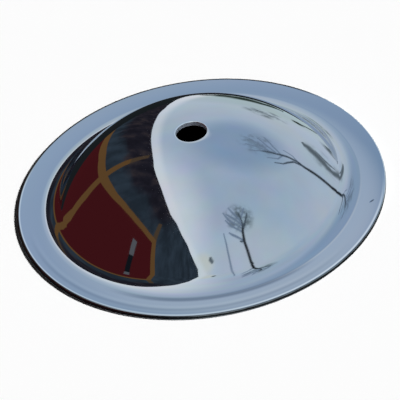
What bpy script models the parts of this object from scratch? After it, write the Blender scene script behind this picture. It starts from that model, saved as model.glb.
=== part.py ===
"""Bell cymbal: one disc of bell metal, spun to a round dome on a narrow flat flange.

The disc is one sheet of even thickness, turned about Z. From the middle outwards its upper
side is a spherical dome, a hollow fillet and the flat flange. A plain round hole through the
crown takes a stand's rod. The disc rests on the flange's flat underside, and the origin is
the centre of that face, with +Z up through the hole.
"""

import math

import bpy

# Driving dimensions, in metres
FLANGE_DIAMETER = 0.1524
FLAT_WIDTH = 0.0098
DOME_HEIGHT = 0.0326
FILLET_RADIUS = 0.0115
WALL = 0.0020
HOLE_DIAMETER = 0.0127
RIM_ROUNDING = 0.0006
HOLE_ROUNDING = 0.0004

# A rounding takes at most this share of the sheet's thickness
LARGEST_ROUNDING = 0.45

# Facets stay this close to the true curve, in metres, and the turn has this many steps
FACET_ERROR = 0.0001
TURN_STEPS = 88

# Bright plated metal
METAL_COLOUR = (0.60, 0.63, 0.66, 1.0)
METAL_ROUGHNESS = 0.05

# The two ends of the turn are merged within this distance, in metres
MERGE_DISTANCE = 0.00001

QUARTER_TURN = math.radians(90)


def clear_scene():
    """Remove whatever objects the open file holds."""
    for old in list(bpy.data.objects):
        bpy.data.objects.remove(old, do_unlink=True)


def arc(centre, radius, start, end):
    """Points of an arc in the (r, z) plane; start and end are slopes in radians, 0 at its top.

    A negative radius gives a hollow arc, whose centre lies above the metal.
    """
    largest_step = 2 * math.acos(1 - FACET_ERROR / abs(radius))
    steps = math.ceil(abs(end - start) / largest_step)
    slopes = [start + (end - start) * step / steps for step in range(steps + 1)]
    return [(centre[0] + radius * math.sin(a), centre[1] + radius * math.cos(a)) for a in slopes]


def dome_shape():
    """The sphere and the fillet of the upper side, and the slope at which they touch.

    The sphere's radius is the one at which it both reaches DOME_HEIGHT above the flange and
    touches a fillet that ends FLAT_WIDTH inside the rim.
    """
    fillet_end = FLANGE_DIAMETER / 2 - FLAT_WIDTH
    dome_radius = (fillet_end ** 2 + DOME_HEIGHT ** 2 - 2 * FILLET_RADIUS * DOME_HEIGHT) / (
        2 * DOME_HEIGHT)
    steepest = math.asin(fillet_end / (dome_radius + FILLET_RADIUS))
    dome_centre = (0.0, WALL + DOME_HEIGHT - dome_radius)
    fillet_centre = (fillet_end, WALL + FILLET_RADIUS)
    return dome_centre, dome_radius, fillet_centre, steepest


def sheet_side(depth, hole_slope):
    """One side of the sheet, depth below the upper side, from the hole to the flange's flat."""
    dome_centre, dome_radius, fillet_centre, steepest = dome_shape()
    dome = arc(dome_centre, dome_radius - depth, hole_slope, steepest)
    fillet = arc(fillet_centre, -FILLET_RADIUS - depth, steepest, 0.0)
    return dome + fillet[1:]


def hole_rounding(rounding, side_radius, dome_centre):
    """Centre of a rounding that touches the hole's wall and a side of the dome, and its slope."""
    edge = HOLE_DIAMETER / 2 + rounding
    slope = math.asin(edge / side_radius)
    return (edge, dome_centre[1] + side_radius * math.cos(slope)), slope


def sheet_outline():
    """The closed outline of the cut sheet: up the hole, over the dome, round the rim, back."""
    dome_centre, dome_radius, _, _ = dome_shape()
    at_rim = min(RIM_ROUNDING, LARGEST_ROUNDING * WALL)
    at_hole = min(HOLE_ROUNDING, LARGEST_ROUNDING * WALL)
    rim = FLANGE_DIAMETER / 2 - at_rim

    top_centre, top_slope = hole_rounding(at_hole, dome_radius - at_hole, dome_centre)
    under_centre, under_slope = hole_rounding(at_hole, dome_radius - WALL + at_hole, dome_centre)

    outline = arc(top_centre, at_hole, -QUARTER_TURN, top_slope)
    outline += sheet_side(0.0, top_slope)[1:]
    outline += arc((rim, WALL - at_rim), at_rim, 0.0, QUARTER_TURN)
    outline += arc((rim, at_rim), at_rim, QUARTER_TURN, 2 * QUARTER_TURN)
    outline += sheet_side(WALL, under_slope)[::-1]
    outline += arc(under_centre, at_hole, 2 * QUARTER_TURN + under_slope, 3 * QUARTER_TURN)[1:]
    return outline


def bright_metal():
    """Polished, plated bell metal."""
    metal = bpy.data.materials.new("bright_plated_bell_metal")
    metal.use_nodes = True
    shader = metal.node_tree.nodes["Principled BSDF"]
    shader.inputs["Base Color"].default_value = METAL_COLOUR
    shader.inputs["Metallic"].default_value = 1.0
    shader.inputs["Roughness"].default_value = METAL_ROUGHNESS
    return metal


def bell_cymbal():
    """The disc: its profile in the XZ plane, turned about Z."""
    outline = sheet_outline()
    count = len(outline)
    mesh = bpy.data.meshes.new("bell_cymbal")
    mesh.from_pydata([(r, 0.0, z) for r, z in outline],
                     [(index, (index + 1) % count) for index in range(count)], [])
    mesh.materials.append(bright_metal())

    disc = bpy.data.objects.new("bell_cymbal", mesh)
    turn = disc.modifiers.new("turn", "SCREW")
    turn.axis = "Z"
    turn.angle = math.radians(360)
    turn.steps = TURN_STEPS
    turn.render_steps = TURN_STEPS
    turn.use_merge_vertices = True
    turn.merge_threshold = MERGE_DISTANCE
    turn.use_smooth_shade = True
    return disc


def main():
    clear_scene()
    parts = bpy.data.collections.new("bell_cymbal")
    bpy.context.scene.collection.children.link(parts)
    parts.objects.link(bell_cymbal())


main()
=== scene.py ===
"""Bell cymbal: the finished looks of the spun disc, and the small studio that shows it.

The disc is one sheet of bell bronze, spun to a dome on a flat flange, buffed to a mirror and
plated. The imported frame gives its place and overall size, and this file builds its fine surface
and finish, the floor, the soft light, the flags that its mirror shows, and the camera.
"""

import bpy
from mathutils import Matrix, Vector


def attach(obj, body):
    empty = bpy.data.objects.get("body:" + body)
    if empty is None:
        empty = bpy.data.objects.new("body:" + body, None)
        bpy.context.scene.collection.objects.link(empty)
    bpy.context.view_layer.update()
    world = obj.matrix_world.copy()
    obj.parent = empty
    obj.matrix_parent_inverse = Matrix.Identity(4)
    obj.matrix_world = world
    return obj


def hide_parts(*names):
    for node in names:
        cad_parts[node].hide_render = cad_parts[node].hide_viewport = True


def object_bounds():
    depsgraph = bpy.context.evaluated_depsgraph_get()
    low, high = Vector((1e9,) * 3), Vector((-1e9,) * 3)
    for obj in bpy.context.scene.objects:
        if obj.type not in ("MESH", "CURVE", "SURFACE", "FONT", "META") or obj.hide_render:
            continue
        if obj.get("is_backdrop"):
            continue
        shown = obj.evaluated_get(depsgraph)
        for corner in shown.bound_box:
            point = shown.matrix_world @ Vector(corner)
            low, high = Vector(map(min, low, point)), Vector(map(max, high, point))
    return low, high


bl_info = {
    "name": "Bell Cymbal",
    "version": (1, 0, 0),
    "blender": (4, 5, 0),
    "location": "3D View > Sidebar > Bell Cymbal",
    "description": "Builds a spun bell cymbal with a mirror finish, and the studio round it",
    "category": "Add Mesh",
}

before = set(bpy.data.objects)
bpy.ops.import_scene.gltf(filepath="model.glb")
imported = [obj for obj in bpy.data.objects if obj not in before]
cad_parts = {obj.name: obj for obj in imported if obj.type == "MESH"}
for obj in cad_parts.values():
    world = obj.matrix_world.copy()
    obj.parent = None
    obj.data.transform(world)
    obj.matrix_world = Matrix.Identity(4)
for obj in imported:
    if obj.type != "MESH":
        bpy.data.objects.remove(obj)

import math

import bmesh
import bpy
from bpy.props import FloatProperty, FloatVectorProperty, PointerProperty
from mathutils import Quaternion, Vector

CAD_LOW, CAD_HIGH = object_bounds()

MM = 0.001
FULL_TURN = math.radians(360)
QUARTER_TURN = math.radians(90)

# Steps of the arcs and of the full turn, fine enough for a clear mirror
DOME_STEPS = 64
FILLET_STEPS = 48
ROUNDING_STEPS = 6
TURN_STEPS = 288

# The disc's finishes, by material slot
BUFFED, TURNED, GROUND, DRILLED = range(4)

# Faces of the rim whose normal leans this far from upright belong to the ground edge, and faces
# that are this share of the hole's rounding off the drilled wall still belong to the wall
EDGE_LEAN = math.radians(20)
WALL_MARGIN = 0.1

# Closest that two points of the turned mesh may be, and farthest its box may be off the solid's
MERGE_DISTANCE = 0.001 * MM
BOX_TOLERANCE = 0.1 * MM

# Half the floor's side, and the nearest and farthest that the camera sees, in metres
FLOOR_REACH = 40.0
NEAREST_VIEW, FARTHEST_VIEW = 0.1, 200.0

# Two places on the line of the side flag's long top edge, as (along, up) in flag distances, and
# the share of the flag's distance by which each card and batten hangs in front of the last
FLAG_EDGE = ((-1.0, 3.05), (8.5, 0.55))
LAYER_GAP = 0.01


def hex_colour(text):
    """An sRGB colour written as #RRGGBB, as linear red, green, blue and alpha."""
    channels = [int(text[place:place + 2], 16) / 255 for place in (1, 3, 5)]
    linear = [c / 12.92 if c <= 0.04045 else ((c + 0.055) / 1.055) ** 2.4 for c in channels]
    return (*linear, 1.0)


def length(name, description, metres):
    """A length that the user can change."""
    return FloatProperty(name=name, description=description, default=metres, min=0.0,
                         unit="LENGTH")


def colour(name, description, text):
    """A colour that the user can change."""
    return FloatVectorProperty(name=name, description=description, default=hex_colour(text),
                               size=4, min=0.0, max=1.0, subtype="COLOR")


def angle(name, description, degrees):
    """An angle that the user can change."""
    return FloatProperty(name=name, description=description, default=math.radians(degrees),
                         subtype="ANGLE", unit="ROTATION")


def share(name, description, part):
    """A share from 0 to 1 that the user can change."""
    return FloatProperty(name=name, description=description, default=part, min=0.0, max=1.0,
                         subtype="FACTOR")


class DiscSizes(bpy.types.PropertyGroup):
    """The sheet's sizes, which are those of the solid that it replaces."""

    rim_diameter: length("Rim diameter", "Across the flange", CAD_HIGH.x - CAD_LOW.x)
    flat_width: length("Flat width", "Flange's flat, from the fillet to the rim", 9.8 * MM)
    dome_height: length("Dome height", "From the flange's top to the dome's own top", 32.6 * MM)
    fillet_radius: length("Fillet radius", "Hollow curve between dome and flange", 11.5 * MM)
    wall: length("Wall", "Thickness of the sheet", 2.0 * MM)
    hole_diameter: length("Hole diameter", "Hole for a stand's rod and sleeve", 12.7 * MM)
    rim_rounding: length("Rim rounding", "Radius of the rim's two edges", 0.6 * MM)
    hole_rounding: length("Hole rounding", "Radius of the hole's two edges", 0.4 * MM)


class FinishColours(bpy.types.PropertyGroup):
    """Colours of the disc's finishes."""

    plating: colour("Plating", "Bright plating on the buffed dome", "#C6CDD6")
    # Painted reflection: the flange's plating is tinted darker and bluer, for the sky that it
    # mirrors
    flange: colour("Flange", "Plating on the flange, where the bronze was buffed less",
                   # Painted highlight: on the lips of the rim and the hole, on a ring of the
                   # flange and on the rim's right
                   "#AFBBCC")
    lips: colour("Lips", "Burnished roundings of the rim and the hole", "#F2F6FA")
    inside: colour("Inside", "Plating on the turned underside", "#B9BEC4")
    # Painted reflection: dark rings on the near side of the flange
    haze_and_painted_rings: colour("Haze", "Rings on the flange where buffing compound was left", "#5F7088")
    edge: colour("Edge", "Plating on the ground rim", "#7F8487")
    # Grime in streaks on the ground rim, and painted shade in lines along the rim at the left and
    # back
    edge_grime_and_shade: colour("Edge grime", "Darker streaks along the ground rim", "#3A3633")
    drilled: colour("Drilled wall", "Bare bronze under thin plating in the hole", "#B9BDC6")


class StageSettings(bpy.types.PropertyGroup):
    """Floor, soft light, flags and camera."""

    floor: colour("Floor", "Pale floor near the disc", "#FCFCFC")
    horizon: colour("Horizon", "Soft light low down, and the floor far away", "#CFDCE5")
    overhead: colour("Overhead", "Soft light straight above", "#BACBDD")
    cool: colour("Cool light", "Bluer part of the soft light", "#A0B6CE")
    spot: colour("Spot", "Paler spots of the soft light, which the flange shows", "#DBE5EC")
    bright: colour("Bright light", "Bright part of the soft light", "#F0F7FA")
    warm: colour("Warm light", "Warmer spot of the soft light, near the front", "#EAE9E0")
    white: colour("White light", "Brightest part of the soft light, beside the flag", "#FFFFFF")
    sage: colour("Sage light", "Greener part of the soft light, low on the far side", "#C2D3D3")
    patches: colour("Patches", "Darker patches low in the soft light", "#5E6B70")
    under: colour("Under light", "Soft light from below, shown by the underside", "#E6ECF1")
    fill_share: share("Fill share", "Part of the floor's light that comes from all round", 0.015)
    lamp_azimuth: angle("Lamp azimuth", "Clockwise from the far side", 106.0)
    lamp_elevation: angle("Lamp elevation", "Above the floor", 47.0)
    lamp_spread: angle("Lamp spread", "Angle that the lamp fills, which softens shadows", 8.0)
    flag_distance: length("Flag distance", "From the disc's axis to the side flag", 3.0)
    cloth: colour("Flag cloth", "Upper part of the side flag", "#26242C")
    slate: colour("Slate cloth", "Lower and nearer part of the side flag", "#303A43")
    wine: colour("Wine card", "Card along the foot of the side flag", "#4C181B")
    ochre: colour("Ochre batten", "Battens across the side flag", "#70502E")
    brown: colour("Brown batten", "Ends of the battens, and dust on the flag", "#554433")
    grey: colour("Grey card", "Small card on the side flag", "#626265")
    stand: colour("Stand", "Slim dark stands, and a small card", "#141A1F")
    arm: colour("Stand's arm", "Thin arms of the stands", "#4C5863")
    wire: colour("Stand's wire", "Thin wires at the arms' ends", "#8192A6")
    bracket: colour("Bracket", "Dark brackets low down on the far side", "#2C3830")
    plume: colour("Plume", "Grey looped ribbon low down on the right", "#6A757B")
    skirt: colour("Skirt", "Dark skirt below the floor's edge", "#1E2224")
    camera_distance: length("Camera distance", "From the flange's middle to the camera", 1.524)
    elevation: angle("Elevation", "Camera's height above the flange's plane", 39.2)
    roll: angle("Roll", "How far the camera leans to the right", 8.87)
    lens: FloatProperty(name="Lens", description="Focal length in mm, on a 36 mm sensor",
                        default=334.3, min=1.0, unit="CAMERA")
    aim_right: FloatProperty(name="Aim right", description="Picture's middle, right of the disc",
                             default=-0.26 * MM, unit="LENGTH")
    aim_up: FloatProperty(name="Aim up", description="Picture's middle, above the flange's",
                          default=-2.96 * MM, unit="LENGTH")


def add_node(tree, kind, inputs=None, **settings):
    """Add a node with its settings, and fill its inputs with values or link them to sockets."""
    made = tree.nodes.new(kind)
    for name, value in settings.items():
        setattr(made, name, value)
    for place, value in (inputs or {}).items():
        if isinstance(value, bpy.types.NodeSocket):
            tree.links.new(value, made.inputs[place])
        else:
            made.inputs[place].default_value = value
    return made


def new_material(name):
    """A material with an empty node tree, and that tree."""
    material = bpy.data.materials.new(name)
    material.use_nodes = True
    material.node_tree.nodes.clear()
    return material, material.node_tree


def distance_from_axis(tree, place):
    """Socket with a place's distance from the disc's axis."""
    level = add_node(tree, "ShaderNodeVectorMath", {0: place, 1: (1, 1, 0)},
                     operation="MULTIPLY")
    measured = add_node(tree, "ShaderNodeVectorMath", {0: level.outputs[0]}, operation="LENGTH")
    return measured.outputs["Value"]


def share_towards(tree, place, side, start, end):
    """Socket that grows from 0 to 1 towards a side of the disc, between two distances in mm."""
    outward = add_node(tree, "ShaderNodeVectorMath", {0: place, 1: side},
                       operation="DOT_PRODUCT")
    return add_node(tree, "ShaderNodeMapRange",
                    {"Value": outward.outputs["Value"], "From Min": start * MM,
                     "From Max": end * MM}, interpolation_type="SMOOTHSTEP").outputs[0]


def marks_round_axis(tree, radius, spacing, detail):
    """Socket of uneven rings round the disc's axis, about spacing apart."""
    count = add_node(tree, "ShaderNodeMath", {0: radius, 1: 1 / spacing}, operation="MULTIPLY")
    return add_node(tree, "ShaderNodeTexNoise",
                    {"W": count.outputs[0], "Scale": 1.0, "Detail": detail},
                    noise_dimensions="1D").outputs["Fac"]


def marks_along_wall(tree, place, run, spacing, detail):
    """Socket of level marks along an upright wall, each run long and about spacing apart."""
    stretched = add_node(tree, "ShaderNodeVectorMath",
                         {0: place, 1: (1 / run, 1 / run, 1 / spacing)}, operation="MULTIPLY")
    return add_node(tree, "ShaderNodeTexNoise",
                    {"Vector": stretched.outputs[0], "Scale": 1.0,
                     "Detail": detail}).outputs["Fac"]


def mirror_plating(colours, sizes):
    """Bright chrome plate on buffed bell bronze.

    Buffing leaves a mirror with a faint haze and hairlines that run round the axis, over the
    long soft waves and rings that the spinning left. The flange's plating is tinted darker and
    bluer as a painted reflection of the sky, with painted reflections in darker and lighter rings
    on its near side. Painted highlights run along the lips of the rim and of the hole, and painted
    shade lies in a line along the rim on the left and at the back.
    """
    material, tree = new_material("chrome_plate_mirror_buffed")
    place = add_node(tree, "ShaderNodeTexCoord").outputs["Object"]
    radius = distance_from_axis(tree, place)

    # Waves of the spun sheet, 22 mm long and shorter, and rings of the spinning tool, 3 mm apart
    waves = add_node(tree, "ShaderNodeTexNoise",
                     {"Vector": place, "Scale": 1 / (22 * MM), "Detail": 3.0})
    rings = marks_round_axis(tree, radius, 3 * MM, 1.0)

    # Buffing hairlines are 0.05 mm apart, and are drawn 0.5 mm apart so that they show
    hairline_count = add_node(tree, "ShaderNodeMath", {0: radius, 1: 1 / (0.5 * MM)},
                              operation="MULTIPLY")
    around = add_node(tree, "ShaderNodeVectorMath", {0: place}, operation="NORMALIZE")
    hairlines = add_node(tree, "ShaderNodeTexNoise",
                         {"Vector": around.outputs[0], "W": hairline_count.outputs[0],
                          "Scale": 1.0, "Detail": 2.0}, noise_dimensions="4D")

    # One nick in the flange, 3.2 mm long and 1 mm wide
    in_nick = add_node(tree, "ShaderNodeMapping",
                       {"Vector": place, "Location": (68.2 * MM, -22.1 * MM, sizes.wall),
                        "Rotation": (0, 0, math.radians(37)),
                        "Scale": (1.6 * MM, 0.5 * MM, 1 * MM)}, vector_type="TEXTURE")
    from_nick = add_node(tree, "ShaderNodeVectorMath", {0: in_nick.outputs[0]},
                         operation="LENGTH")
    nick = add_node(tree, "ShaderNodeMapRange",
                    {"Value": from_nick.outputs["Value"], "From Min": 1.0, "From Max": 0.3},
                    interpolation_type="SMOOTHSTEP").outputs[0]

    # How far each stands out of the metal in mm, on top of those before it; the nick is sunk
    relief = {}
    for rise, shape in ((0.01, waves.outputs["Fac"]), (0.002, rings),
                        (0.0002, hairlines.outputs["Fac"]), (-0.05, nick)):
        bump = add_node(tree, "ShaderNodeBump",
                        {"Distance": rise * MM, "Height": shape, **relief})
        relief = {"Normal": bump.outputs[0]}

    # Colours that lie over the plating in turn, each with the socket of its share. The flange's
    # comes first, from the fillet's foot outwards: a darker, bluer tint that is a painted
    # reflection of the sky
    flat_start = sizes.rim_diameter / 2 - sizes.flat_width
    on_flange = add_node(tree, "ShaderNodeMapRange",
                         {"Value": radius, "From Min": flat_start - 1.3 * MM,
                          "From Max": flat_start + 0.2 * MM}, interpolation_type="SMOOTHSTEP")
    layers = [(on_flange.outputs[0], colours.flange)]

    # Painted reflections, in darker and lighter rings on the flange's near side: how far from the
    # fillet's foot, half their width, their colour and its share, and the side on which they show,
    # between two distances from the axis
    for beside, half_width, most, shown, side, start, end in (
            (-0.2, 1.8, 0.7, colours.haze_and_painted_rings, (0, -1, 0), 49, 65),
            (4.3, 1.5, 0.12, colours.lips, (-0.3, -1, 0), 25, 60),
            (5.8, 1.4, 0.24, colours.haze_and_painted_rings, (-0.3, -1, 0), 25, 60)):
        off_ring = add_node(tree, "ShaderNodeMath", {0: radius, 1: flat_start + beside * MM},
                            operation="SUBTRACT")
        off_ring = add_node(tree, "ShaderNodeMath", {0: off_ring.outputs[0]},
                            operation="ABSOLUTE")
        in_ring = add_node(tree, "ShaderNodeMapRange",
                           {"Value": off_ring.outputs[0], "From Max": half_width * MM,
                            "To Min": most, "To Max": 0.0}, interpolation_type="SMOOTHSTEP")
        ring = add_node(tree, "ShaderNodeMath",
                        {0: in_ring.outputs[0], 1: share_towards(tree, place, side, start, end)},
                        operation="MULTIPLY")
        layers.append((ring.outputs[0], shown))

    # The rim's lip, in roundings in from the rim: a painted highlight at the front and the left,
    # with a thin line of painted shade at the left and a wider one at the back
    rim, rounding = sizes.rim_diameter / 2, sizes.rim_rounding
    lips = [(rim - start * rounding, rim - end * rounding,
             share_towards(tree, place, side, nearest, farthest), shown)
            for start, end, shown, side, nearest, farthest in (
                (2.6, 1.7, colours.lips, (-0.35, -0.94, 0), -27, 8),
                (1.6, 1.2, colours.edge_grime_and_shade, (-1, 0.35, 0), -20, 50),
                (2.1, 1.6, colours.edge_grime_and_shade, (-0.2, 1, 0), 36, 52))]

    # The hole's lip has a painted highlight all round
    hole, rounding = sizes.hole_diameter / 2, sizes.hole_rounding
    lips.append((hole + 1.4 * rounding, hole + 0.9 * rounding, 1.0, colours.lips))
    for start, end, most, shown in lips:
        on_lip = add_node(tree, "ShaderNodeMapRange",
                          {"Value": radius, "From Min": start, "From Max": end,
                           "To Max": most})
        layers.append((on_lip.outputs[0], shown))

    tint = colours.plating
    for part, over in layers:
        tint = add_node(tree, "ShaderNodeMix", {"Factor": part, "A": tint, "B": over},
                        data_type="RGBA").outputs["Result"]
    # Painted shade darkens the tint in the nick
    nick_shade = add_node(tree, "ShaderNodeMapRange", {"Value": nick, "To Min": 1.0, "To Max": 0.3})
    tint = add_node(tree, "ShaderNodeVectorMath", {0: tint, "Scale": nick_shade.outputs[0]},
                    operation="SCALE")

    # Haze of the last buffing compound, in patches 30 mm across
    haze_and_painted_rings = add_node(tree, "ShaderNodeTexNoise",
                    {"Vector": place, "Scale": 1 / (30 * MM), "Detail": 3.0})
    roughness = add_node(tree, "ShaderNodeMapRange",
                         {"Value": haze_and_painted_rings.outputs["Fac"], "From Min": 0.3, "From Max": 0.7,
                          "To Min": 0.02, "To Max": 0.06})
    shader = add_node(tree, "ShaderNodeBsdfPrincipled",
                      {"Base Color": tint.outputs[0], "Metallic": 1.0,
                       "Roughness": roughness.outputs[0], **relief})
    add_node(tree, "ShaderNodeOutputMaterial", {"Surface": shader.outputs[0]})
    return material


def turned_plating(colours):
    """Chrome plate over the underside, left as the lathe tool turned it.

    Fine grooves run round the axis, so it shines in soft streaks instead of a clear mirror.
    """
    material, tree = new_material("chrome_plate_lathe_turned")
    place = add_node(tree, "ShaderNodeTexCoord").outputs["Object"]

    # The tool's feed is 0.3 mm a turn, and is drawn as 1.2 mm so that it shows
    grooves = marks_round_axis(tree, distance_from_axis(tree, place), 1.2 * MM, 3.0)
    roughness = add_node(tree, "ShaderNodeMapRange",
                         {"Value": grooves, "From Min": 0.3, "From Max": 0.7,
                          "To Min": 0.4, "To Max": 0.55})
    bump = add_node(tree, "ShaderNodeBump", {"Distance": 0.03 * MM, "Height": grooves})
    shader = add_node(tree, "ShaderNodeBsdfPrincipled",
                      {"Base Color": colours.inside, "Metallic": 1.0,
                       "Roughness": roughness.outputs[0], "Normal": bump.outputs[0]})
    add_node(tree, "ShaderNodeOutputMaterial", {"Surface": shader.outputs[0]})
    return material


def ground_edge(colours):
    """Chrome plate over the sheet's rim, which was cut and then ground but not buffed.

    It is a satin grey, with darker streaks of grime that run along the rim, and a painted
    highlight makes it bright on the right.
    """
    material, tree = new_material("chrome_plate_on_ground_edge")
    place = add_node(tree, "ShaderNodeTexCoord").outputs["Object"]

    # Grinding marks are 0.1 mm wide, and are drawn 0.5 mm wide and 6 mm long so that they show
    marks = marks_along_wall(tree, place, 6 * MM, 0.5 * MM, 3.0)
    grime = add_node(tree, "ShaderNodeMapRange",
                     {"Value": marks, "From Min": 0.45, "From Max": 0.75})
    # Grime in streaks, then a painted highlight on the rim's right side
    tint = colours.edge
    for part, over in ((grime.outputs[0], colours.edge_grime_and_shade),
                       (share_towards(tree, place, (1, 0.25, 0), 60, 74), colours.lips)):
        tint = add_node(tree, "ShaderNodeMix", {"Factor": part, "A": tint, "B": over},
                        data_type="RGBA").outputs["Result"]
    bump = add_node(tree, "ShaderNodeBump", {"Distance": 0.02 * MM, "Height": marks})
    shader = add_node(tree, "ShaderNodeBsdfPrincipled",
                      {"Base Color": tint, "Metallic": 1.0, "Roughness": 0.22,
                       "Normal": bump.outputs[0]})
    add_node(tree, "ShaderNodeOutputMaterial", {"Surface": shader.outputs[0]})
    return material


def drilled_wall(colours):
    """Bell bronze of the hole's wall, as the drill left it under a thin flash of plating.

    Fine marks run round it, so it is a soft pale grey instead of a mirror.
    """
    material, tree = new_material("bell_bronze_drilled_and_flash_plated")
    place = add_node(tree, "ShaderNodeTexCoord").outputs["Object"]

    # The drill's feed is 0.1 mm a turn, and its marks are drawn 0.3 mm apart so that they show
    marks = marks_along_wall(tree, place, 4 * MM, 0.3 * MM, 2.0)
    bump = add_node(tree, "ShaderNodeBump", {"Distance": 0.02 * MM, "Height": marks})
    shader = add_node(tree, "ShaderNodeBsdfPrincipled",
                      {"Base Color": colours.drilled, "Metallic": 1.0, "Roughness": 0.7,
                       "Normal": bump.outputs[0]})
    add_node(tree, "ShaderNodeOutputMaterial", {"Surface": shader.outputs[0]})
    return material


def sweep(sheet, start, centre, turn, steps):
    """Draw an arc from a vertex round a centre in the XZ plane, and give its last vertex."""
    made = bmesh.ops.spin(sheet, geom=[start], cent=(centre[0], 0, centre[1]), axis=(0, 1, 0),
                          angle=turn, steps=steps)
    return next(part for part in made["geom_last"] if isinstance(part, bmesh.types.BMVert))


def draw_straight(sheet, start, end):
    """Draw a straight line from a vertex to a point in the XZ plane, and give its last vertex."""
    made = bmesh.ops.extrude_vert_indiv(sheet, verts=[start])["verts"][0]
    made.co = (end[0], 0, end[1])
    return made


def draw_outline(sheet, sizes):
    """Draw the cut sheet's closed outline: over the dome, round the rim, back, up the hole.

    The dome's radius is the one that reaches its height and touches the fillet.
    """
    wall, fillet_radius, height = sizes.wall, sizes.fillet_radius, sizes.dome_height
    rim = sizes.rim_diameter / 2
    flat_start = rim - sizes.flat_width
    dome_radius = (flat_start ** 2 + height ** 2 - 2 * fillet_radius * height) / (2 * height)
    dome_centre = (0.0, wall + height - dome_radius)
    fillet_centre = (flat_start, wall + fillet_radius)
    steepest = math.asin(flat_start / (dome_radius + fillet_radius))

    at_hole, at_rim = sizes.hole_rounding, sizes.rim_rounding
    hole = sizes.hole_diameter / 2
    top_slope = math.asin((hole + at_hole) / (dome_radius - at_hole))
    top_centre = (hole + at_hole,
                  dome_centre[1] + (dome_radius - at_hole) * math.cos(top_slope))
    inner_radius = dome_radius - wall
    low_slope = math.asin((hole + at_hole) / (inner_radius + at_hole))
    low_centre = (hole + at_hole,
                  dome_centre[1] + (inner_radius + at_hole) * math.cos(low_slope))

    first = sheet.verts.new((hole, 0, top_centre[1]))
    last = sweep(sheet, first, top_centre, QUARTER_TURN + top_slope, ROUNDING_STEPS)
    last = sweep(sheet, last, dome_centre, steepest - top_slope, DOME_STEPS)
    last = sweep(sheet, last, fillet_centre, -steepest, FILLET_STEPS)
    last = draw_straight(sheet, last, (rim - at_rim, wall))
    last = sweep(sheet, last, (rim - at_rim, wall - at_rim), QUARTER_TURN, ROUNDING_STEPS)
    last = draw_straight(sheet, last, (rim, at_rim))
    last = sweep(sheet, last, (rim - at_rim, at_rim), QUARTER_TURN, ROUNDING_STEPS)
    last = draw_straight(sheet, last, (flat_start, 0))
    last = sweep(sheet, last, fillet_centre, steepest, FILLET_STEPS)
    last = sweep(sheet, last, dome_centre, low_slope - steepest, DOME_STEPS)
    last = sweep(sheet, last, low_centre, QUARTER_TURN - low_slope, ROUNDING_STEPS)
    sheet.edges.new((last, first))


def finish_of(face, sizes):
    """The finish of a face, which follows from its lean and its distance from the axis."""
    lean = face.normal.angle(Vector((0, 0, 1)))
    middle = face.calc_center_median()
    from_axis = math.hypot(middle.x, middle.y)
    if from_axis < sizes.hole_diameter / 2 + WALL_MARGIN * sizes.hole_rounding:
        return DRILLED
    if from_axis > sizes.rim_diameter / 2 - sizes.rim_rounding and lean > EDGE_LEAN:
        return GROUND
    return BUFFED if lean < QUARTER_TURN else TURNED


def into_scene(name, shape, *finishes):
    """Make a shape an object of the scene, with its finishes and its place in its mesh."""
    mesh = bpy.data.meshes.new(name)
    shape.to_mesh(mesh)
    shape.free()
    for finish in finishes:
        mesh.materials.append(finish)
    made = bpy.data.objects.new(name, mesh)
    bpy.context.scene.collection.objects.link(made)
    return made


class BELLCYMBAL_OT_make_disc(bpy.types.Operator):
    """Spin the sheet to its dome and flange, finish it, and put it in place of the solid"""

    bl_idname = "bell_cymbal.make_disc"
    bl_label = "Make the disc"

    def execute(self, context):
        sizes = context.scene.bell_cymbal_sizes
        colours = context.scene.bell_cymbal_colours

        sheet = bmesh.new()
        draw_outline(sheet, sizes)
        bmesh.ops.spin(sheet, geom=sheet.verts[:] + sheet.edges[:], cent=(0, 0, 0),
                       axis=(0, 0, 1), angle=FULL_TURN, steps=TURN_STEPS, use_merge=True)
        bmesh.ops.remove_doubles(sheet, verts=sheet.verts, dist=MERGE_DISTANCE)
        bmesh.ops.recalc_face_normals(sheet, faces=sheet.faces)
        for face in sheet.faces:
            face.smooth = True
            face.material_index = finish_of(face, sizes)
        if any(not edge.is_manifold for edge in sheet.edges):
            raise RuntimeError("the disc's mesh isn't closed")

        disc = into_scene("spun_disc", sheet, mirror_plating(colours, sizes),
                          turned_plating(colours), ground_edge(colours), drilled_wall(colours))
        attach(disc, "root")
        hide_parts("bell_cymbal")

        low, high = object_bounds()
        if max((low - CAD_LOW).length, (high - CAD_HIGH).length) > BOX_TOLERANCE:
            raise RuntimeError("the disc doesn't fill the solid's box")
        return {"FINISHED"}


def towards(azimuth, elevation):
    """Unit vector to a place in the studio, in degrees; azimuth is clockwise from the far side."""
    turn, rise = math.radians(azimuth), math.radians(elevation)
    return Vector((math.sin(turn) * math.cos(rise), math.cos(turn) * math.cos(rise),
                   math.sin(rise)))


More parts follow.
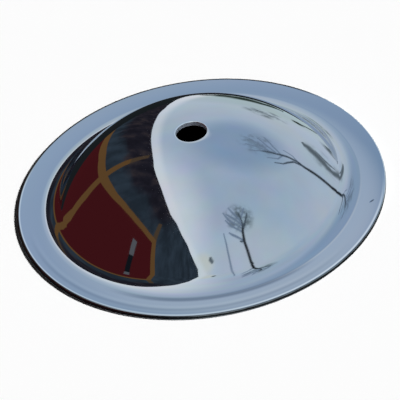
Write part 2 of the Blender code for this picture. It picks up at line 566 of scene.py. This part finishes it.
def soft_light(settings):
    """World: even white fill on dull surfaces, and a pale gradient wherever it is seen.

    The camera, mirrors and glass all see the same gradient.
    """
    world = bpy.data.worlds.new("soft_studio_light")
    world.use_nodes = True
    tree = world.node_tree
    tree.nodes.clear()
    direction = add_node(tree, "ShaderNodeTexCoord").outputs["Generated"]
    height = add_node(tree, "ShaderNodeSeparateXYZ", {0: direction}).outputs["Z"]

    def share_near(aim, edge, middle, most):
        """Socket that is most within middle degrees of a direction, and 0 beyond edge degrees."""
        aimed = add_node(tree, "ShaderNodeVectorMath", {0: direction, 1: aim},
                         operation="DOT_PRODUCT")
        return add_node(tree, "ShaderNodeMapRange",
                        {"Value": aimed.outputs["Value"],
                         "From Min": math.cos(math.radians(edge)),
                         "From Max": math.cos(math.radians(middle)), "To Max": most},
                        interpolation_type="SMOOTHSTEP").outputs[0]

    # Colours that lie over the horizon's in turn, each with the socket of its share: first the
    # light overhead, then round pools. A pool has the way to its middle, the degrees off that at
    # which it ends and within which it is full, its share and its colour
    upward = add_node(tree, "ShaderNodeMapRange", {"Value": height},
                      interpolation_type="SMOOTHSTEP")
    layers = [(upward.outputs[0], settings.overhead)]
    layers += [(share_near(aim, edge, middle, most), light) for aim, edge, middle, most, light in (
        (towards(31, 45), 28, 9, 1, settings.cool),
        (towards(3, 43), 7, 1, 1, settings.spot),
        (towards(-102, 20), 78, 51, 1, settings.bright),
        (towards(150, 34), 38, 6, 0.5, settings.spot),
        (towards(11, -14), 19, 6, 1, settings.sage),
        (towards(188, 42), 9, 2, 1, settings.warm))]

    # It is whitest beside the side flag's top edge
    near_end, far_end = (Vector((-1, along, up)) for along, up in FLAG_EDGE)
    off_edge = add_node(tree, "ShaderNodeVectorMath",
                        {0: direction, 1: far_end.cross(near_end).normalized()},
                        operation="DOT_PRODUCT")
    off_edge = add_node(tree, "ShaderNodeMath", {0: off_edge.outputs["Value"]},
                        operation="ABSOLUTE")
    beside_flag = add_node(tree, "ShaderNodeMapRange",
                           {"Value": off_edge.outputs[0], "From Min": 0.09, "From Max": 0.02,
                            "To Max": 0.6}, interpolation_type="SMOOTHSTEP")
    layers.append((beside_flag.outputs[0], settings.white))
    shade = settings.horizon
    for part, over in layers:
        shade = add_node(tree, "ShaderNodeMix", {"Factor": part, "A": shade, "B": over},
                         data_type="RGBA").outputs["Result"]

    # The light's cloth is uneven in brightness and in colour, in clouds 16 degrees across
    uneven = add_node(tree, "ShaderNodeTexNoise",
                      {"Vector": direction, "Scale": 3.5, "Detail": 4.0})
    kept = add_node(tree, "ShaderNodeVectorMath",
                    {0: uneven.outputs["Color"], 1: (0.26, 0.20, 0.24), 2: (0.87, 0.90, 0.88)},
                    operation="MULTIPLY_ADD")
    shade = add_node(tree, "ShaderNodeVectorMath", {0: shade, 1: kept.outputs[0]},
                     operation="MULTIPLY").outputs[0]

    # Specks, 4 degrees across and finer, gather in three patches low down on the far right, and
    # thinly round two stands' tops
    specks = add_node(tree, "ShaderNodeTexNoise",
                      {"Vector": direction, "Scale": 14.0, "Detail": 8.0, "Roughness": 0.6})
    speckled = add_node(tree, "ShaderNodeMapRange",
                        {"Value": specks.outputs["Fac"], "From Min": 0.43, "From Max": 0.6})
    layers = []
    for azimuth, elevation, edge, most in ((20, 2, 7, 0.9), (33, -14, 6, 1), (45, 2, 10, 0.5),
                                           (38, 37, 11, 0.6), (131, 61, 11, 0.9)):
        patch = add_node(tree, "ShaderNodeMath",
                         {0: speckled.outputs[0],
                          1: share_near(towards(azimuth, elevation), edge, edge / 3, most)},
                         operation="MULTIPLY")
        layers.append((patch.outputs[0], settings.patches))
    downward = add_node(tree, "ShaderNodeMapRange",
                        {"Value": height, "From Min": -0.3, "From Max": -0.8})
    layers.append((downward.outputs[0], settings.under))

    # Dull surfaces get an even fill in place of all this
    ray = add_node(tree, "ShaderNodeLightPath").outputs
    dull = 1.0
    for kind in ("Is Camera Ray", "Is Glossy Ray", "Is Transmission Ray"):
        dull = add_node(tree, "ShaderNodeMath", {0: dull, 1: ray[kind]},
                        operation="SUBTRACT", use_clamp=True).outputs[0]
    layers.append((dull, (*(settings.fill_share,) * 3, 1.0)))
    for part, over in layers:
        shade = add_node(tree, "ShaderNodeMix", {"Factor": part, "A": shade, "B": over},
                         data_type="RGBA").outputs["Result"]
    background = add_node(tree, "ShaderNodeBackground", {"Color": shade})
    add_node(tree, "ShaderNodeOutputWorld", {"Surface": background.outputs[0]})
    return world


def pale_floor(settings, disc_radius):
    """Matt pale floor that fades to the horizon's colour, and keeps the disc's shadow.

    It is clear from below, and to mirror rays, so the disc mirrors the soft light and the
    flags all round as it would if it were held up. Under the disc, where no light reaches, it
    is black.
    """
    material, tree = new_material("pale_matt_floor")
    place = add_node(tree, "ShaderNodeTexCoord").outputs["Object"]
    from_axis = distance_from_axis(tree, place)

    # It fades between half a metre and 6 metres from the disc's axis
    far = add_node(tree, "ShaderNodeMapRange",
                   {"Value": from_axis, "From Min": 0.5, "From Max": 6.0},
                   interpolation_type="SMOOTHSTEP")
    # Painted shadow: the floor is black where the disc covers it
    covered = add_node(tree, "ShaderNodeMath", {0: from_axis, 1: disc_radius},
                       operation="LESS_THAN")
    shade = settings.floor
    for part, over in ((far.outputs[0], settings.horizon),
                       (covered.outputs[0], hex_colour("#000000"))):
        shade = add_node(tree, "ShaderNodeMix", {"Factor": part, "A": shade, "B": over},
                         data_type="RGBA").outputs["Result"]
    matt = add_node(tree, "ShaderNodeBsdfDiffuse", {"Color": shade})
    clear = add_node(tree, "ShaderNodeBsdfTransparent")
    mirrored = add_node(tree, "ShaderNodeLightPath").outputs["Is Glossy Ray"]
    below = add_node(tree, "ShaderNodeNewGeometry").outputs["Backfacing"]
    left_out = add_node(tree, "ShaderNodeMath", {0: mirrored, 1: below}, operation="MAXIMUM")
    surface = add_node(tree, "ShaderNodeMixShader",
                       {0: left_out.outputs[0], 1: matt.outputs[0], 2: clear.outputs[0]})
    add_node(tree, "ShaderNodeOutputMaterial", {"Surface": surface.outputs[0]})
    return material


def even_card(name, shade):
    """Card of a studio flag, which shows its own colour evenly."""
    material, tree = new_material(name)
    even = add_node(tree, "ShaderNodeEmission", {"Color": shade})
    add_node(tree, "ShaderNodeOutputMaterial", {"Surface": even.outputs[0]})
    return material


def soft_card(name, shade):
    """Narrow card that fades out towards its two long edges, as if it were out of focus."""
    material, tree = new_material(name)
    across = add_node(tree, "ShaderNodeSeparateXYZ",
                      {0: add_node(tree, "ShaderNodeTexCoord").outputs["UV"]}).outputs["Y"]
    off_middle = add_node(tree, "ShaderNodeMath", {0: across, 1: 0.5}, operation="SUBTRACT")
    off_middle = add_node(tree, "ShaderNodeMath", {0: off_middle.outputs[0]},
                          operation="ABSOLUTE")
    solid = add_node(tree, "ShaderNodeMapRange",
                     {"Value": off_middle.outputs[0], "From Min": 0.5, "From Max": 0.1},
                     interpolation_type="SMOOTHSTEP")
    clear = add_node(tree, "ShaderNodeBsdfTransparent")
    even = add_node(tree, "ShaderNodeEmission", {"Color": shade})
    surface = add_node(tree, "ShaderNodeMixShader",
                       {0: solid.outputs[0], 1: clear.outputs[0], 2: even.outputs[0]})
    add_node(tree, "ShaderNodeOutputMaterial", {"Surface": surface.outputs[0]})
    return material


def two_dyed_cloth(settings):
    """Cloth of the side flag: black towards its top edge and slate below and near the front."""
    material, tree = new_material("black_and_slate_flag_cloth")
    place = add_node(tree, "ShaderNodeTexCoord").outputs["Object"]
    away = settings.flag_distance
    folds = add_node(tree, "ShaderNodeTexNoise",
                     {"Vector": place, "Scale": 2.0 / away, "Detail": 3.0})
    along = add_node(tree, "ShaderNodeSeparateXYZ", {0: place})
    slope = add_node(tree, "ShaderNodeVectorMath", {0: place, 1: (0, 0.45 / away, 1 / away)},
                     operation="DOT_PRODUCT")
    wavy = add_node(tree, "ShaderNodeMath",
                    {0: slope.outputs["Value"], 1: folds.outputs["Fac"]}, operation="ADD")
    above = add_node(tree, "ShaderNodeMapRange",
                     {"Value": wavy.outputs[0], "From Min": 1.9, "From Max": 2.4},
                     interpolation_type="SMOOTHSTEP")
    beyond = add_node(tree, "ShaderNodeMapRange",
                      {"Value": along.outputs["Y"], "From Min": -1.2 * away,
                       "From Max": -0.3 * away}, interpolation_type="SMOOTHSTEP")
    black = add_node(tree, "ShaderNodeMath", {0: above.outputs[0], 1: beyond.outputs[0]},
                     operation="MULTIPLY")

    # Hanging folds catch some light, and brown dust lies on the black part
    hanging = add_node(tree, "ShaderNodeVectorMath",
                       {0: place, 1: (0, 2.4 / away, 1.3 / away)}, operation="MULTIPLY")
    pleats = add_node(tree, "ShaderNodeTexNoise",
                      {"Vector": hanging.outputs[0], "Scale": 1.0, "Detail": 5.0,
                       "Roughness": 0.6})
    dust = add_node(tree, "ShaderNodeMapRange",
                    {"Value": pleats.outputs["Fac"], "From Min": 0.5, "From Max": 0.7,
                     "To Max": 0.25})
    dusty = add_node(tree, "ShaderNodeMath", {0: dust.outputs[0], 1: black.outputs[0]},
                     operation="MULTIPLY")
    shade = settings.slate
    for part, over in ((black.outputs[0], settings.cloth), (dusty.outputs[0], settings.brown)):
        shade = add_node(tree, "ShaderNodeMix", {"Factor": part, "A": shade, "B": over},
                         data_type="RGBA").outputs["Result"]
    lit = add_node(tree, "ShaderNodeMapRange",
                   {"Value": pleats.outputs["Fac"], "From Min": 0.4, "From Max": 0.65,
                    "To Min": 0.75, "To Max": 1.35})
    shade = add_node(tree, "ShaderNodeVectorMath", {0: shade, "Scale": lit.outputs[0]},
                     operation="SCALE")
    even = add_node(tree, "ShaderNodeEmission", {"Color": shade.outputs[0]})
    add_node(tree, "ShaderNodeOutputMaterial", {"Surface": even.outputs[0]})
    return material


def hang(name, shape, material):
    """Hang a shape in the studio where only mirrors can see it."""
    hung = into_scene(name, shape, material)
    for kind in ("camera", "diffuse", "transmission", "volume_scatter", "shadow"):
        setattr(hung, f"visible_{kind}", False)
    hung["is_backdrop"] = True


def hang_card(name, corners, material):
    """A flat card inside its corners, which are given in order round it."""
    shape = bmesh.new()
    points = [shape.verts.new(corner) for corner in corners]
    sides = [shape.edges.new(ends) for ends in zip(points, points[1:] + points[:1])]
    bmesh.ops.edgeloop_fill(shape, edges=sides)
    hang(name, shape, material)


def hang_strip(name, rungs, material):
    """A strip through rungs, which each give a point on its lower and on its upper edge."""
    shape = bmesh.new()
    shape.loops.layers.uv.new("across")
    last = len(rungs) - 1
    bmesh.ops.create_grid(shape, x_segments=last, y_segments=1, size=1.0, calc_uvs=True)
    for corner in shape.verts:
        low, high = rungs[round((corner.co.x + 1) / 2 * last)]
        corner.co = high if corner.co.y > 0 else low
    hang(name, shape, material)


def hang_ribbon(name, places, material):
    """A ribbon that faces the disc, through places that each give a point and a width."""
    rungs = []
    for index, (point, width) in enumerate(places):
        run = places[min(index + 1, len(places) - 1)][0] - places[max(index - 1, 0)][0]
        half = run.cross(point).normalized() * width / 2
        rungs.append((point - half, point + half))
    hang_strip(name, rungs, material)


def side_flag(settings):
    """The big flag at the disc's left, with cards and battens on it.

    Places on it are (along, up) in flag distances, along growing to the far side. A card's or
    batten's layer is how many gaps it hangs in front of the flag.
    """
    away = settings.flag_distance
    ochre = even_card("ochre_batten", settings.ochre)
    brown = even_card("brown_batten", settings.brown)

    def card(name, layer, material, places):
        """A card inside its places on the flag."""
        near = 1 - LAYER_GAP * layer
        hang_card(name, [Vector((-1, along, up)) * away * near for along, up in places], material)

    def batten(name, layer, material, places):
        """A batten through its places on the flag, each with its width in flag distances."""
        near = 1 - LAYER_GAP * layer
        hang_ribbon(name, [(Vector((-1, along, up)) * away * near, width * away * near)
                           for along, up, width in places], material)

    card("side_flag", 0, two_dyed_cloth(settings), (
        (-4.7, -3.0), (-4.7, 3.82), (-4.0, 3.7), (-3.0, 3.5), (-2.3, 3.46), (-1.55, 3.14),
        (-1.0, 3.0), (-0.5, 2.68), (0.4, 2.5), (1.2, 2.22), (1.65, 2.2), (2.2, 2.08),
        (2.9, 1.88), (3.9, 1.67), (5.6, 1.3), FLAG_EDGE[1], (11.8, -0.15), (14.3, -1.0),
        (19.1, -2.5), (23.0, -3.7), (28.6, -5.5), (28.6, -8.0), (5.0, -3.0)))
    card("wine_card", 1, even_card("wine_card", settings.wine), (
        (-1.6, -0.5), (-0.62, 1.33), (0.07, 1.08), (0.54, 0.83), (1.04, 0.57), (1.72, 0.3),
        (5.0, -1.22), (5.0, -3.0), (-1.6, -3.0)))
    card("grey_card", 2, even_card("grey_card", settings.grey),
         ((-0.42, 0.72), (-0.34, 0.93), (-0.24, 0.90), (-0.34, 0.68)))
    card("dark_card", 2, even_card("dark_card", settings.stand),
         ((-0.50, 0.42), (-0.42, 0.72), (-0.34, 0.68), (-0.41, 0.42)))
    batten("left_batten", 3, ochre, ((-1.6, -0.5, 0.14), (-0.62, 1.3, 0.11)))
    batten("left_batten_top", 3, brown, ((-0.62, 1.3, 0.11), (-0.48, 1.85, 0.09)))
    batten("cross_batten_top", 4, brown, ((1.36, 1.2, 0.12), (1.72, 1.95, 0.10)))
    batten("cross_batten", 5, ochre, (
        (1.1, -0.5, 0.12), (0.87, -0.18, 0.12), (0.78, 0.05, 0.12), (0.86, 0.3, 0.13),
        (1.04, 0.57, 0.13), (1.29, 1.04, 0.12), (1.36, 1.2, 0.12)))
    batten("long_batten", 6, ochre, (
        (-0.66, 1.33, 0.09), (-0.24, 1.21, 0.08), (0.07, 1.08, 0.075), (0.34, 0.95, 0.08),
        (0.54, 0.83, 0.085), (1.04, 0.57, 0.11), (1.72, 0.32, 0.12), (2.46, -0.04, 0.13),
        (3.72, -0.66, 0.15), (6.0, -1.65, 0.16)))


def stands(settings):
    """Slim forked stands on the right and at the front, and brackets and ribbons far off.

    Each is a ribbon through places of (azimuth, elevation, width) in degrees.
    """
    away = settings.flag_distance
    stem = soft_card("dark_stand", settings.stand)
    arm = soft_card("thin_stand_arm", settings.arm)
    wire = soft_card("stand_wire", settings.wire)
    bracket = soft_card("low_bracket", settings.bracket)
    plume = soft_card("looped_plume", settings.plume)
    for name, places, material in (
            ("right_stand", ((60, -3, 3.0), (61, 5, 3.3), (60, 10, 3.5), (58, 17, 3.3),
                             (56.5, 21, 2.8), (54, 23, 2.2)), stem),
            ("right_fork_far", ((54, 23, 2.6), (51, 28, 2.5), (49, 33, 2.3),
                                (46, 38, 1.9), (44, 41, 1.4)), arm),
            ("right_fork_near", ((56.5, 20, 2.4), (54.5, 26, 2.1), (55.5, 30, 1.7),
                                 (57, 34, 1.4), (56, 39, 1.1)), arm),
            ("right_wire_1", ((50, 31, 1.4), (43, 31, 1.4), (35, 29, 1.1)), wire),
            ("right_wire_2", ((49, 33, 1.6), (42, 34, 1.6), (34, 33, 1.2)), wire),
            ("right_wire_3", ((47, 36, 1.6), (40, 37, 1.6), (32, 37, 1.1)), wire),
            ("right_wire_4", ((46, 37, 1.6), (40, 40, 1.5), (34, 43, 1.1)), wire),
            ("right_wire_5", ((45, 39, 1.5), (43, 43, 1.4), (40, 46, 1.1)), wire),
            ("right_wire_6", ((50, 30, 1.5), (53, 35, 1.4), (51, 41, 1.1)), wire),
            ("right_wire_7", ((54, 23, 1.3), (50, 24, 1.3), (46, 27, 1.0)), wire),
            ("front_stand", ((146, 28.5, 2.8), (149, 34, 3.1), (147, 41, 3.0), (145, 47, 2.9),
                             (141, 52, 2.6), (137, 55, 2.2)), stem),
            ("front_fork_left", ((137, 55, 2.2), (133, 58, 2.0), (127, 63, 1.4)), arm),
            ("front_fork_right", ((138, 54, 2.0), (128, 57, 1.8), (120, 59, 1.3)), arm),
            ("front_wire_1", ((145, 48, 2.0), (151, 54, 2.6), (154, 57, 1.6)), wire),
            ("front_wire_2", ((141, 53, 2.0), (147, 60, 2.4), (149, 65, 1.4)), wire),
            ("front_wire_3", ((136, 56, 2.0), (138, 63, 2.4), (142, 68, 1.4)), wire),
            ("front_wire_4", ((134, 58, 2.0), (133, 64, 2.4), (130, 70, 1.4)), wire),
            ("front_wire_5", ((131, 60, 1.8), (124, 61, 2.0), (116, 62, 1.2)), wire),
            ("front_wire_6", ((139, 55, 1.8), (145, 64, 2.4), (144, 70, 1.4)), wire),
            ("front_stub", ((144.5, 48, 1.4), (147, 48, 2.4), (148.5, 49, 1.2)), arm),
            ("front_foot", ((163, 31, 0.8), (155, 30, 2.0), (148, 29, 2.6), (143, 28, 2.2),
                            (136, 27, 0.8)), wire),
            ("front_pole", ((165.5, 33, 2.0), (164, 43, 1.8), (162, 51, 1.5), (160, 58, 1.0)),
             wire),
            ("front_knob", ((180, 41, 2.0), (180, 43, 4.6), (180, 45.5, 2.4)), plume),
            ("far_bracket", ((2, -18, 2), (5, -17, 7), (7.5, -15.5, 11), (10, -14.5, 13),
                             (12.5, -14.5, 10), (16, -16, 3)), bracket),
            ("far_rail", ((22.6, -8.2, 1.5), (23, -9.5, 4.5), (23.2, -10.8, 4.0),
                          (23.2, -12, 1.6), (23.3, -14.5, 1.8), (23.5, -17, 1.6)), bracket),
            ("plume_loop", ((38, 7.5, 3.0), (40.5, 6.8, 8.0), (43, 5.6, 10.0), (46, 4.2, 9.0),
                            (49, 2.4, 7.0), (50.2, -0.5, 5.0), (49, -4, 4.4), (46.5, -7.5, 4.8),
                            (42, -11.5, 4.4), (39, -10.5, 2.0)), plume),
            ("plume_side", ((41, 3, 1.0), (44, 1.6, 2.4), (46, -1, 2.4), (46.5, -4, 1.0)),
             plume)):
        hang_ribbon(name, [(towards(azimuth, elevation) * away,
                            math.radians(width) * away)
                           for azimuth, elevation, width in places], material)


def dark_skirt(settings):
    """A dark skirt all round below the floor's edge, as (azimuth, highest elevation).

    It hangs nearer than the side flag, whose foot it hides.
    """
    reach = 0.9 * settings.flag_distance
    foot = -50
    tops = [(azimuth, -8) for azimuth in range(-90, -5, 12)]
    tops += [(-3, -8.5), (-2, -11), (-1, -14.5), (0, -17.5), (1, -19)]
    tops += [(azimuth, -19) for azimuth in range(15, 91, 15)]
    tops += [(azimuth, -12) for azimuth in range(105, 271, 15)]
    hang_strip("dark_skirt", [(towards(azimuth, foot) * reach, towards(azimuth, top) * reach)
                              for azimuth, top in tops],
               even_card("dark_skirt_cloth", settings.skirt))


def key_lamp(settings):
    """The lamp that lays the disc's shadow; the disc's mirror doesn't show it."""
    lamp = bpy.data.lights.new("key_lamp", "SUN")
    lamp.angle = settings.lamp_spread
    lamp.energy = math.pi * (1 - settings.fill_share) / math.sin(settings.lamp_elevation)
    hung = bpy.data.objects.new("key_lamp", lamp)
    hung.rotation_mode = "QUATERNION"
    aim = towards(math.degrees(settings.lamp_azimuth), math.degrees(settings.lamp_elevation))
    hung.rotation_quaternion = aim.to_track_quat("Z", "Y")
    hung.visible_glossy = False
    bpy.context.scene.collection.objects.link(hung)


class BELLCYMBAL_OT_make_stage(bpy.types.Operator):
    """Lay the floor, light the studio softly and hang the flags that the mirror shows"""

    bl_idname = "bell_cymbal.make_stage"
    bl_label = "Make the stage"

    def execute(self, context):
        settings = context.scene.bell_cymbal_stage
        sizes = context.scene.bell_cymbal_sizes
        context.scene.world = soft_light(settings)

        shape = bmesh.new()
        bmesh.ops.create_grid(shape, x_segments=1, y_segments=1, size=FLOOR_REACH)
        covered = sizes.rim_diameter / 2 - 2 * sizes.rim_rounding
        floor = into_scene("floor", shape, pale_floor(settings, covered))
        floor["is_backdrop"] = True

        side_flag(settings)
        stands(settings)
        dark_skirt(settings)
        key_lamp(settings)
        context.scene.view_settings.view_transform = "Standard"
        return {"FINISHED"}


class BELLCYMBAL_OT_place_camera(bpy.types.Operator):
    """Put the camera at the picture's viewing angle"""

    bl_idname = "bell_cymbal.place_camera"
    bl_label = "Place the camera"

    def execute(self, context):
        settings = context.scene.bell_cymbal_stage
        wall = context.scene.bell_cymbal_sizes.wall
        back = Vector((0, -math.cos(settings.elevation), math.sin(settings.elevation)))
        turn = back.to_track_quat("Z", "Y") @ Quaternion((0, 0, 1), -settings.roll)
        aim = turn @ Vector((settings.aim_right, settings.aim_up, settings.camera_distance))

        data = bpy.data.cameras.new("camera")
        data.lens = settings.lens
        data.clip_start = NEAREST_VIEW
        data.clip_end = FARTHEST_VIEW
        camera = bpy.data.objects.new("camera", data)
        camera.rotation_mode = "QUATERNION"
        camera.rotation_quaternion = turn
        camera.location = Vector((0, 0, wall)) + aim
        context.scene.collection.objects.link(camera)
        context.scene.camera = camera
        return {"FINISHED"}


class VIEW3D_PT_bell_cymbal(bpy.types.Panel):
    """Sizes, colours and stage of the bell cymbal, with a button for each step."""

    bl_label = "Bell Cymbal"
    bl_space_type = "VIEW_3D"
    bl_region_type = "UI"
    bl_category = "Bell Cymbal"

    def draw(self, context):
        scene = context.scene
        for group, steps in ((scene.bell_cymbal_sizes, ()),
                             (scene.bell_cymbal_colours, (BELLCYMBAL_OT_make_disc,)),
                             (scene.bell_cymbal_stage, (BELLCYMBAL_OT_make_stage,
                                                        BELLCYMBAL_OT_place_camera))):
            box = self.layout.box()
            for name in group.__annotations__:
                box.prop(group, name)
            for step in steps:
                box.operator(step.bl_idname)


GROUPS = {
    "bell_cymbal_sizes": DiscSizes,
    "bell_cymbal_colours": FinishColours,
    "bell_cymbal_stage": StageSettings,
}
STEPS = (BELLCYMBAL_OT_make_disc, BELLCYMBAL_OT_make_stage, BELLCYMBAL_OT_place_camera)


def register():
    for name, group in GROUPS.items():
        bpy.utils.register_class(group)
        setattr(bpy.types.Scene, name, PointerProperty(type=group))
    for kind in (*STEPS, VIEW3D_PT_bell_cymbal):
        bpy.utils.register_class(kind)


def unregister():
    for kind in reversed((*STEPS, VIEW3D_PT_bell_cymbal)):
        bpy.utils.unregister_class(kind)
    for name, group in GROUPS.items():
        delattr(bpy.types.Scene, name)
        bpy.utils.unregister_class(group)


def main():
    register()
    bpy.ops.bell_cymbal.make_disc()
    bpy.ops.bell_cymbal.make_stage()
    bpy.ops.bell_cymbal.place_camera()


if __name__ == "__main__":
    main()
